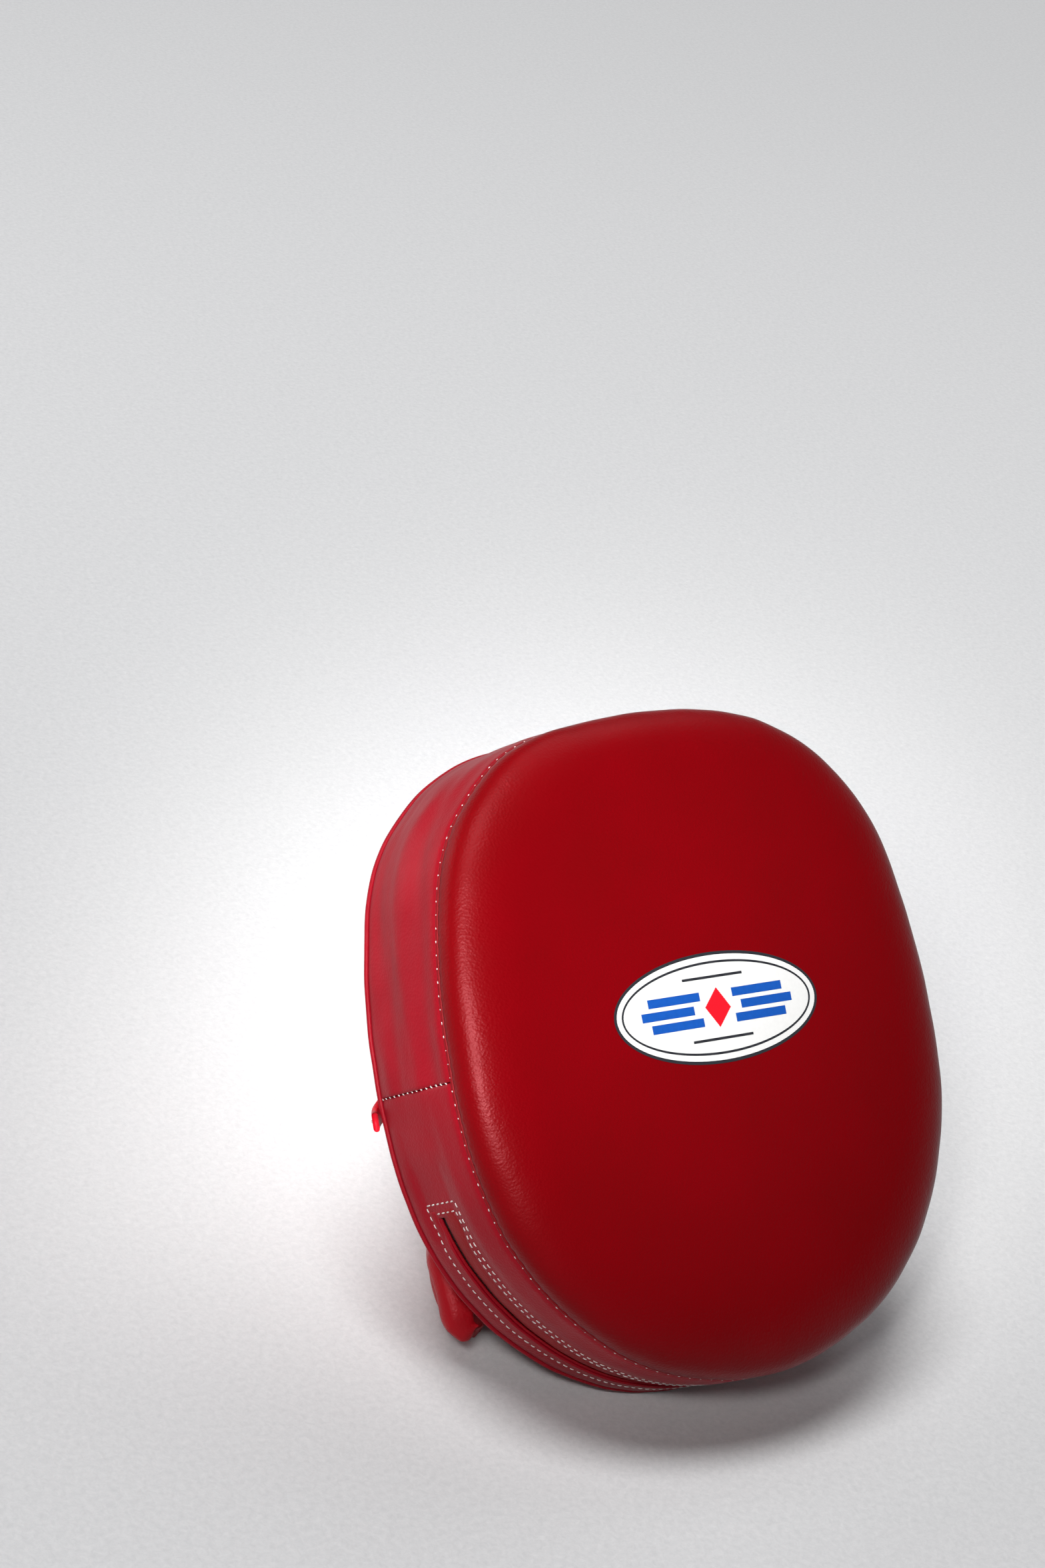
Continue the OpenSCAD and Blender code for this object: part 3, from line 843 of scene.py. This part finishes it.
def make_cuff():
    section = cuff_section()
    rows = []
    for k in range(97):
        u = -0.985 + 1.97 * k / 96
        thin = 1 - 0.5 * smooth(0.8, 1.0, abs(u))
        rows.append([crumple(cuff_point(u, y, d * thin), u) for y, d in section])
    points, faces = grid(rows, wrap=True)
    n = len(section)
    faces.append(tuple(range(n)))
    faces.append(tuple(reversed(range(len(points) - n, len(points)))))
    mats = [M["cuff_leather"], M["lining_cloth"]]
    obj = piece("cuff_leather_pad", points, faces, mats)
    face_outwards(obj.data)
    simulate(obj, pressure=5.0, cap=2.2, voxel=3.2)
    mesh = obj.data
    for v in mesh.vertices:
        p = flat(v.co)
        q = Vector((p.x / 16, p.y / 16, p.z / 16 + 5))
        p += Vector((0, 0, -0.7 * noise.noise(q) - 0.25 * noise.noise(q * 2.7)))
        p = above_floor(p, FLOOR_GAP + 0.35)
        if p.z > -1.5:
            p.z = -1.5
        v.co = world(p)
    for poly in mesh.polygons:
        p = flat(poly.center)
        a = min(1, abs(p.x) / CUFF_W)
        depth = CUFF_H * (1 - a * a) + p.z
        if p.y > -61 and depth > 8.5 * (1 - 0.45 * smooth(0.7, 1, a)):
            poly.material_index = 1
    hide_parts("cuff_shell", "cuff_padding", "cuff_lining")


make_cuff()


def cuff_skin(u, y, lift):
    """A point on the outside of the cuff, over its puff, and its outward normal."""
    _, n = arch(u, CUFF_W, CUFF_H)
    f = (y - CUFF_Y[0]) / (CUFF_Y[1] - CUFF_Y[0])
    p = cuff_point(u, y, -lift - 1.6 * math.sin(math.pi * min(1, max(0, f))))
    return above_floor(p, FLOOR_GAP + 0.35 + lift), Vector((n.x, 0, n.y))


def ribbon_section(width, thick):
    """A flat strip's cross-section with round edges, width across and thick through."""
    r = thick / 2
    angles = [math.pi * i / 5 for i in range(6)]
    right = [(width / 2 - r + r * math.sin(a), r * math.cos(a)) for a in angles]
    left = [(-a, -b) for a, b in right]
    return right + left


BINDING_STEPS = 120


def bind(name, node, path, width, thick):
    obj = sweep(name, path, ribbon_section(width, thick), "binding_leather")
    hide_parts(node)


def edge_thread(name, path):
    stitches(name, path, 3.6, length=0.6, thick=0.36)


def make_cuff_binding():
    path = []
    for k in range(BINDING_STEPS + 1):
        u = -0.985 + 1.97 * k / BINDING_STEPS
        _, n = arch(u, CUFF_W, CUFF_H)
        p = cuff_point(u, CUFF_Y[1] - 3.6, 0.4 - 0.3 * noise.noise(Vector((u * 9, 0, 4))))
        path.append((above_floor(p, FLOOR_GAP + 1.6), Vector((n.x, 0, n.y))))
    bind("cuff_edge_binding", "cuff_binding", path, 7.0, 2.4)
    top = [(above_floor(p + n * 1.25, FLOOR_GAP + 2.6) + Vector((0, -0.6, 0)), n) for p, n in path]
    edge_thread("cuff_edge_thread", top)


make_cuff_binding()


LABEL_W = 26


def label_u(s, v, half):
    """Place across the cuff of a label that is a little wider at its middle."""
    return s * (half + 1.6 * math.cos(math.pi * (v - 0.5))) / CUFF_W


def label_print(x, y, v):
    """0 for the ground, 1 for blue and 2 for red."""
    if math.hypot(x, y) < 6.5:
        return 2
    bars = 9 < abs(x) < 21 and (abs(abs(y) - 4.6) < 1.8 or abs(y) < 1.5)
    bands = 0.06 < v < 0.11 or 0.83 < v < 0.93
    return 1 if bars or bands else 0


def make_label():
    nu, nv = 64, 40
    y0, y1 = CUFF_Y[0] + 3.2, CUFF_Y[1] - 8
    rows, which = [], []
    for j in range(nv + 1):
        v = j / nv
        us = [label_u(2 * i / nu - 1, v, LABEL_W) for i in range(nu + 1)]
        rows.append([cuff_skin(u, y0 + (y1 - y0) * v, 0.45)[0] for u in us])
    for j in range(nv):
        for i in range(nu):
            v, s = (j + 0.5) / nv, 2 * (i + 0.5) / nu - 1
            which.append(label_print(s * LABEL_W, (v - 0.47) * 33, v))
    points, faces = grid(rows)
    mats = [M["label_white"], M["print_blue"], M["print_red"]]
    obj = piece("cuff_label_print", points, faces, mats, which=which)
    modify(obj, "SOLIDIFY", thickness=0.5 * MM, offset=-1)
    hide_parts("cuff_label")
    edge_path = []
    for s, v in polyline([(-1, 0), (1, 0), (1, 1), (-1, 1), (-1, 0)], [40] * 4):
        u = label_u(s, v, LABEL_W - 0.8)
        edge_path.append(cuff_skin(u, y0 + 0.7 + (y1 - y0 - 1.4) * v, 0.5))
    stitches("cuff_label_thread", edge_path, 2.6, length=0.6, thick=0.24, holes=False)


make_label()


FLANGE_X = (50, 69)
FLANGE_Y = (-68.4, -8.2)
FLANGE_Z = -1.9
# The rows of stitches on a flange, as corners (x, y).
FLANGE_ROWS = (
    [(67, -30), (67, -66.5), (64.3, -66.5), (64.3, -30)],
    [(67, -27), (67, -10)],
    [(64.6, -27), (64.6, -10)],
)


def make_flange(s, side):
    """The flat leather patch that holds one side of the cuff to the back, with a little wave."""
    n = 16
    xa, xb = sorted(s * x for x in FLANGE_X)
    rows = []
    for j in range(n + 1):
        row = []
        for i in range(n + 1):
            x = xa + (xb - xa) * i / n
            y = FLANGE_Y[0] + (FLANGE_Y[1] - FLANGE_Y[0]) * j / n
            wave = 0.3 * (0.5 + 0.5 * noise.noise(Vector((x / 7, y / 7, 8.8))))
            row.append(Vector((x, y, FLANGE_Z - wave)))
        rows.append(row)
    points, faces = grid(rows)
    faces = flipped(faces)
    obj = piece("cuff_flange_patch_" + side, points, faces, [M["cuff_leather"]])
    modify(obj, "SOLIDIFY", thickness=1.7 * MM, offset=-1)
    modify(obj, "BEVEL", width=0.5 * MM, segments=2, limit_method="ANGLE")
    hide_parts("cuff_flange_" + side)
    for k, row in enumerate(FLANGE_ROWS):
        at = polyline(row, [24] * 3)
        path = [(Vector((s * x, y, FLANGE_Z - 0.35)), Vector((0, 0, -1))) for x, y in at]
        stitches("flange_thread_%s_%d" % (side, k), path, 3.3, length=0.6, thick=0.34)


for s, side in ((-1, "left"), (1, "right")):
    make_flange(s, side)

# ---- Slotted hand panel ----

PANEL_Y = (CUFF_Y[1] + 0.3, 1.0)
PANEL_X = (42, 38)
HOOD_H, PANEL_H, TUCK = 22, 53, 9
PANEL_HALF, PANEL_POWER = 68, 2.4


def panel_half(v):
    return (1 - v) * PANEL_X[0] + v * PANEL_X[1]


def panel_y(v):
    return PANEL_Y[0] + (PANEL_Y[1] - PANEL_Y[0]) * v


def panel_arch(x):
    return PANEL_H * (1 - (abs(x) / PANEL_HALF) ** PANEL_POWER)


def hood_arch(x):
    return HOOD_H * max(0, 1 - (x / 100) ** 2) ** 2


def panel_at(s, v, lift=0.0):
    """A point of the slotted panel: s across from -1 to 1, v along from cuff to hood."""
    x = panel_half(v) * s
    k = (1 - v) ** 1.6
    sag = 0.6 * noise.noise(Vector((x / 14, v * 2, 6.2)))
    z = -(k * panel_arch(x) + (1 - k) * (hood_arch(x) - TUCK)) + sag
    return Vector((x, panel_y(v), z - lift))


def panel_normal(s, v):
    e = 0.02
    a = panel_at(s + e, v) - panel_at(s - e, v)
    b = panel_at(s, v + e) - panel_at(s, v - e)
    n = a.cross(b).normalized()
    return n if n.z < 0 else -n


SLOTS = (-33, -11, 11, 33)
SLOT_V = (0.27, 0.80)
SLOT_HALF = 2.3


def slot_outline(x0, grow):
    """(s, v) round one slot, grow mm out: straight sides and round ends, converging towards the fingers."""
    length = PANEL_Y[1] - PANEL_Y[0]
    out = []
    ends = [SLOT_V[0] * length + SLOT_HALF, SLOT_V[1] * length - SLOT_HALF]
    r = SLOT_HALF + grow
    for end, base in ((1, 0.0), (0, math.pi)):
        for i in range(11):
            a = base + math.pi * i / 10
            along = ends[end] + r * math.sin(a)
            x = x0 * (1 - 0.10 * along / length) + r * math.cos(a)
            v = along / length
            out.append((x / panel_half(v), v))
    return out


def make_panel():
    nu, nv = 96, 34
    points = [panel_at(-1 + 2 * i / nu, j / nv) for j in range(nv + 1) for i in range(nu + 1)]
    faces = []
    for j in range(nv):
        for i in range(nu):
            a = j * (nu + 1) + i
            faces.append((a, a + nu + 1, a + nu + 2, a + 1))
    obj = piece("slotted_hand_panel", points, faces, [M["cuff_leather"]])
    modify(obj, "SOLIDIFY", thickness=1.9 * MM, offset=-1)
    cutters = []
    for k, x0 in enumerate(SLOTS):
        ring = slot_outline(x0, 0)
        top = [panel_at(s, v) + panel_normal(s, v) * 6 for s, v in ring]
        low = [panel_at(s, v) - panel_normal(s, v) * 6 for s, v in ring]
        n = len(ring)
        fs = [tuple(range(n)), tuple(reversed(range(n, 2 * n)))]
        fs += [(i, n + i, n + (i + 1) % n, (i + 1) % n) for i in range(n)]
        cut = piece("cutter_%d" % k, top + low, fs, [])
        face_outwards(cut.data)
        modify(obj, "BOOLEAN", operation="DIFFERENCE", object=cut, solver="EXACT")
        cutters.append(cut)
    apply_all(obj)
    for cut in cutters:
        bpy.data.objects.remove(cut)
    obj.data.polygons.foreach_set("use_smooth", [True] * len(obj.data.polygons))
    modify(obj, "EDGE_SPLIT", split_angle=math.radians(50))
    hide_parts("hand_panel")
    for k, x0 in enumerate(SLOTS):
        for grow, tag in ((2.6, "a"), (4.4, "b")):
            ring = slot_outline(x0, grow)
            ring.append(ring[0])
            path = [(panel_at(s, v, 0.1), panel_normal(s, v)) for s, v in ring]
            stitches("slot_thread_%d%s" % (k, tag), path, 2.6, length=0.62, thick=0.32)
    for s, side in ((-1, "left"), (1, "right")):
        for row, share in enumerate((0.93, 0.87)):
            u = s * share
            path = [(panel_at(u, i / 30, 0.1), panel_normal(u, i / 30)) for i in range(2, 29)]
            stitches("panel_side_thread_%s_%d" % (side, row), path, 3.0, length=0.62, thick=0.33)


make_panel()


def make_panel_binding():
    path = []
    for k in range(BINDING_STEPS + 1):
        u = -0.98 + 1.96 * k / BINDING_STEPS
        (x, z), n = arch(u, PANEL_HALF, PANEL_H, PANEL_POWER)
        p = Vector((x, CUFF_Y[1] + 2.3 + 0.4 * noise.noise(Vector((u * 7, 1, 2))), z))
        path.append((above_floor(p, 2.2), Vector((n.x, 0, n.y))))
    bind("panel_edge_binding", "panel_binding", path, 6.6, 2.3)
    edge_thread("panel_edge_thread", [(p + n * 1.2, n) for p, n in path])


make_panel_binding()


def make_hem(s, side):
    """The fold of leather down one side of the slotted panel."""
    rows = []
    for j in range(25):
        v = j / 24
        k = (1 - v) ** 1.6
        x0 = panel_half(v)
        head = Vector((x0 + 0.4, k * panel_arch(x0) + (1 - k) * (hood_arch(x0) - TUCK)))
        foot = Vector((52, 19)).lerp(Vector((46, 5)), v)
        row = []
        for i in range(13):
            f = i / 12
            p = head.lerp(foot, f)
            bulge = 1.1 * math.sin(math.pi * f)
            row.append(Vector((s * (p.x + bulge), panel_y(v), -p.y - bulge * 0.6)))
        rows.append(row)
    points, faces = grid(rows)
    if s > 0:
        faces = flipped(faces)
    hem = piece("panel_hem_fold_" + side, points, faces, [M["binding_leather"]])
    modify(hem, "SOLIDIFY", thickness=2.2 * MM, offset=-1)
    modify(hem, "BEVEL", width=0.7 * MM, segments=3, limit_method="ANGLE")
    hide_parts("panel_hem_" + side)
    path = [(row[9] + Vector((s * 0.25, 0, -0.2)), Vector((s * 0.8, 0, -0.6))) for row in rows[1:-2]]
    stitches("hem_thread_" + side, path, 3.2, length=0.6, thick=0.34)


def make_wall(s, side):
    """The low roll of leather beside one thumb gap."""
    rows = []
    for j in range(21):
        f = j / 20
        tall = 1 + 0.25 * math.sin(math.pi * f)
        row = []
        for i in range(17):
            a = math.pi * i / 16
            r = 5 + 0.7 * math.sin(2 * math.pi * f) * math.sin(a)
            row.append(Vector((s * (60 - r * math.cos(a)), -26 + 17 * f, -2.6 - r * math.sin(a) * tall)))
        rows.append(row)
    points, faces = grid(rows)
    if s < 0:
        faces = flipped(faces)
    wall = piece("thumb_wall_" + side, points, faces, [M["cuff_leather"]])
    modify(wall, "SOLIDIFY", thickness=1.3 * MM, offset=-1)
    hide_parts("side_wall_" + side)


for s, side in ((-1, "left"), (1, "right")):
    make_hem(s, side)
    make_wall(s, side)

# ---- Finger hood ----

HOOD_IN = 9.5
MOUTH_Y = -3
HOOD_T = 4.5
HOOD_END = END_C.y + END_R - HOOD_IN - 0.05


def hood_half(y):
    """Half the hood's width, HOOD_IN mm in from the outline."""
    for c, r, _, end in ARCS[1:]:
        if y < c.y + (r - HOOD_IN) * math.sin(end) or r == END_R:
            return c.x + math.sqrt((r - HOOD_IN) ** 2 - (y - c.y) ** 2)


def hood_z(u, y):
    """Height of the hood's inside: it swells from the mouth and closes at the finger end."""
    swell = 28
    if y < MOUTH_Y + swell:
        rise = HOOD_H - HOOD_T + 4 * math.sin(math.pi / 2 * (y - MOUTH_Y) / swell)
    else:
        closing = (y - MOUTH_Y - swell) / (HOOD_END - MOUTH_Y - swell)
        rise = (HOOD_H + 4 - HOOD_T) * math.cos(math.pi / 2 * closing)
    return rise * (1 - u * u) ** 1.7


def hood_at(u, y, lift):
    p = Vector((u * hood_half(y), y, -hood_z(u, y) - lift))
    q = Vector((p.x / 34, y / 34, 2.2))
    free = smooth(1, 0.8, abs(u)) * smooth(MOUTH_Y, MOUTH_Y + 12, y)
    p.z -= (0.9 * noise.noise(q) + 0.3 * noise.noise(q * 2.8)) * free
    return p


# The hood's layers: name, lift of its outside and inside, material, slot, node and fill.
HOOD_LAYERS = (
    ("finger_hood_leather", 4.5, 3.3, "back_leather", "back_leather", "hood_shell", 0.7),
    ("finger_hood_lining", 1.3, 0.5, "lining_cloth", "lining_cloth", "hood_lining", None),
    ("finger_hood_foam", 3.1, 1.5, "foam", "soft_foam", "hood_padding", 0.9),
)


def make_hood():
    nu, nv = 110, 76
    for name, lift0, lift1, mat, slot, node, fill in HOOD_LAYERS:
        layers = []
        tucked = 0 if name == "finger_hood_leather" else 1.8
        for lift in (lift0, lift1):
            for j in range(nv + 1):
                y = MOUTH_Y + tucked + (HOOD_END - MOUTH_Y - 2 * tucked) * math.sin(math.pi / 2 * j / nv)
                row = []
                for i in range(nu + 1):
                    u = (2 * i / nu - 1) * (1 - tucked / 70)
                    full = smooth(1, 0.9, abs(u)) * smooth(0, 0.12, 1 - j / nv)
                    row.append(hood_at(u, y, 0.4 + (lift - 0.4) * max(full, lift / 24)))
                layers.append(row)
        half = nv + 1
        points, faces = grid(layers[:half])
        base = len(points)
        low, low_faces = grid(layers[half:])
        points = points + low
        faces = flipped(faces) + [tuple(v + base for v in f) for f in low_faces]
        n = nu + 1
        border = list(range(n)) + [j * n + nu for j in range(1, nv + 1)]
        border += [nv * n + i for i in range(nu - 1, -1, -1)] + [j * n for j in range(nv - 1, 0, -1)]
        faces += [(a, b, base + b, base + a) for a, b in zip(border, border[1:] + border[:1])]
        obj = piece(name, points, faces, [M[mat]])
        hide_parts(node)


def make_hood_binding():
    """The binding round the hood's mouth, with a tail at each end that reaches the outline."""
    path = []
    for i in range(151):
        u = -1 + 2 * i / 150
        p, a, b = (hood_at(w, MOUTH_Y + 2.2, 4.4) for w in (u, min(1, u + 0.02), max(-1, u - 0.02)))
        n = (a - b).cross(Vector((0, 1, 0))).normalized()
        n = n if n.z < 0 else -n
        path.append((p + Vector((0, 0.5 * noise.noise(Vector((u * 8, 3, 3))), 0)), n))
    tail = edge(CROSS_T + 7, 1.2, 0.4)
    for s in (-1, 1):
        extra = []
        p0, n0 = path[0] if s < 0 else path[-1]
        for i in range(1, 7):
            f = i / 6
            p = p0.lerp(Vector((s * (tail.x + 2.6), -7.0, 3.0)), f)
            p.z = p0.z + (3.0 - p0.z) * f**2.4
            extra.append((p, n0.lerp(Vector((s * 0.9, 0, -0.45)), f).normalized()))
        path = list(reversed(extra)) + path if s < 0 else path + extra
    bind("hood_edge_binding", "hood_binding", path, 7.0, 2.2)
    edge_thread("hood_edge_thread", [(p + n * 1.15, n) for p, n in path])


make_hood()
make_hood_binding()

# ---- CAD nodes that stay ----

KEPT = {
    "zip_tape": ("zip_tape_face", "zip_tape_back"),
    "zip_nylon": ("zip_coil_face", "zip_coil_back"),
    "zip_steel": ("zip_stops",),
    "zip_black": ("zip_slider", "zip_puller"),
}
for mat, nodes in KEPT.items():
    for node in nodes:
        materials = frame["nodes"][node].data.materials
        materials.clear()
        materials.append(M[mat])

# ---- Floor, light and camera ----


def make_floor():
    mesh = bpy.data.meshes.new("floor")
    far = 45.0
    mesh.from_pydata([(-far, -far, 0), (far, -far, 0), (far, far, 0), (-far, far, 0)], [], [(0, 1, 2, 3)])
    obj = bpy.data.objects.new("floor", mesh)
    scene.collection.objects.link(obj)
    w = Nodes("paper")
    fibre = w.texture("ShaderNodeTexNoise", 420, Detail=5.0, Roughness=0.75, Distortion=0.5)
    w.paint(fibre, "Fac", (0.3, (0.575, 0.577, 0.585)), (0.7, (0.675, 0.675, 0.68)))
    w.link(w.bump(fibre, "Fac", 0.12, 0.0004), "Normal", w.shader, "Normal")
    w.set(Roughness=0.9, Specular_IOR_Level=0.2)
    mesh.materials.append(w.mat)


make_floor()


def light(name, kind, at, aim, power):
    data = bpy.data.lights.new(name, kind)
    data.energy = power
    obj = bpy.data.objects.new(name, data)
    obj.location = at
    obj.rotation_mode = "QUATERNION"
    obj.rotation_quaternion = aim.to_track_quat("-Z", "Y")
    scene.collection.objects.link(obj)
    return data


def area_light(name, at, to, size, power, color):
    data = light(name, "AREA", at, to - at, power)
    data.size = size
    data.color = color
    return data


# The camera's place and its picture's upward direction, in the flat drawing.
CAMERA_AT = (-790.24, -47.19, 1068.15)
CAMERA_LOOK = (0.58336, 0.11225, -0.80442)
CAMERA_UP = (0.08889, 0.97563, 0.20060)
cam_data = bpy.data.cameras.new("camera")
cam_data.sensor_width = 36
cam_data.lens = 86.34
cam_data.clip_start, cam_data.clip_end = 0.05, 100
cam = bpy.data.objects.new("camera", cam_data)
look = (TURN @ Vector(CAMERA_LOOK)).normalized()
cam_up = TURN @ Vector(CAMERA_UP)
cam_right = look.cross(cam_up).normalized()
cam_up = cam_right.cross(look)
cam_turn = Matrix((cam_right, cam_up, -look)).transposed().to_4x4()
cam.matrix_world = Matrix.Translation(world(CAMERA_AT)) @ cam_turn
scene.collection.objects.link(cam)
scene.camera = cam

# A small near key on the striking face's upper left, a broad light from the left and one over the paper
# behind the mitt, and a sun with a wide disc for the soft shadow under it.
centre = Vector((0, 0, 0.1))
above = Vector((0, 0, 1))
behind = Vector((look.x, look.y, 0)).normalized()
key_dir = Vector((-0.66, -0.44, 0.62)).normalized()
bright = world((-66, 70, 64))
key = area_light("key", centre + key_dir * 0.58, bright, 0.24, 0.40, (1.0, 0.99, 0.98))
key.spread = math.radians(25)
left_dir = (-cam_right + above * 0.5 + look * 0.3).normalized()
area_light("left", centre + left_dir * 1.5, centre, 0.9, 5.6, (0.97, 0.98, 1.0))
top_at = centre + behind * 0.7 + cam_right * 0.05 + above * 1.15
area_light("top", top_at, centre + behind * 0.5, 0.8, 3.4, (0.99, 0.99, 1.0))
sun = light("sky", "SUN", centre + above * 3, behind * 0.13 + cam_right * 0.22 - above, 2.5)
sun.angle = math.radians(26)

# The room: light near the horizon, darker overhead.
studio = bpy.data.worlds.new("studio")
studio.use_nodes = True
tree = studio.node_tree
coord = tree.nodes.new("ShaderNodeTexCoord")
split = tree.nodes.new("ShaderNodeSeparateXYZ")
tree.links.new(coord.outputs["Generated"], split.inputs[0])
ramp = tree.nodes.new("ShaderNodeValToRGB")
ramp.color_ramp.elements[0].color = (0.56, 0.565, 0.57, 1)
ramp.color_ramp.elements[1].position = 0.45
ramp.color_ramp.elements[1].color = (0.09, 0.092, 0.095, 1)
tree.links.new(split.outputs["Z"], ramp.inputs[0])
tree.links.new(ramp.outputs[0], tree.nodes["Background"].inputs["Color"])
scene.world = studio
scene.view_settings.view_transform = "Standard"
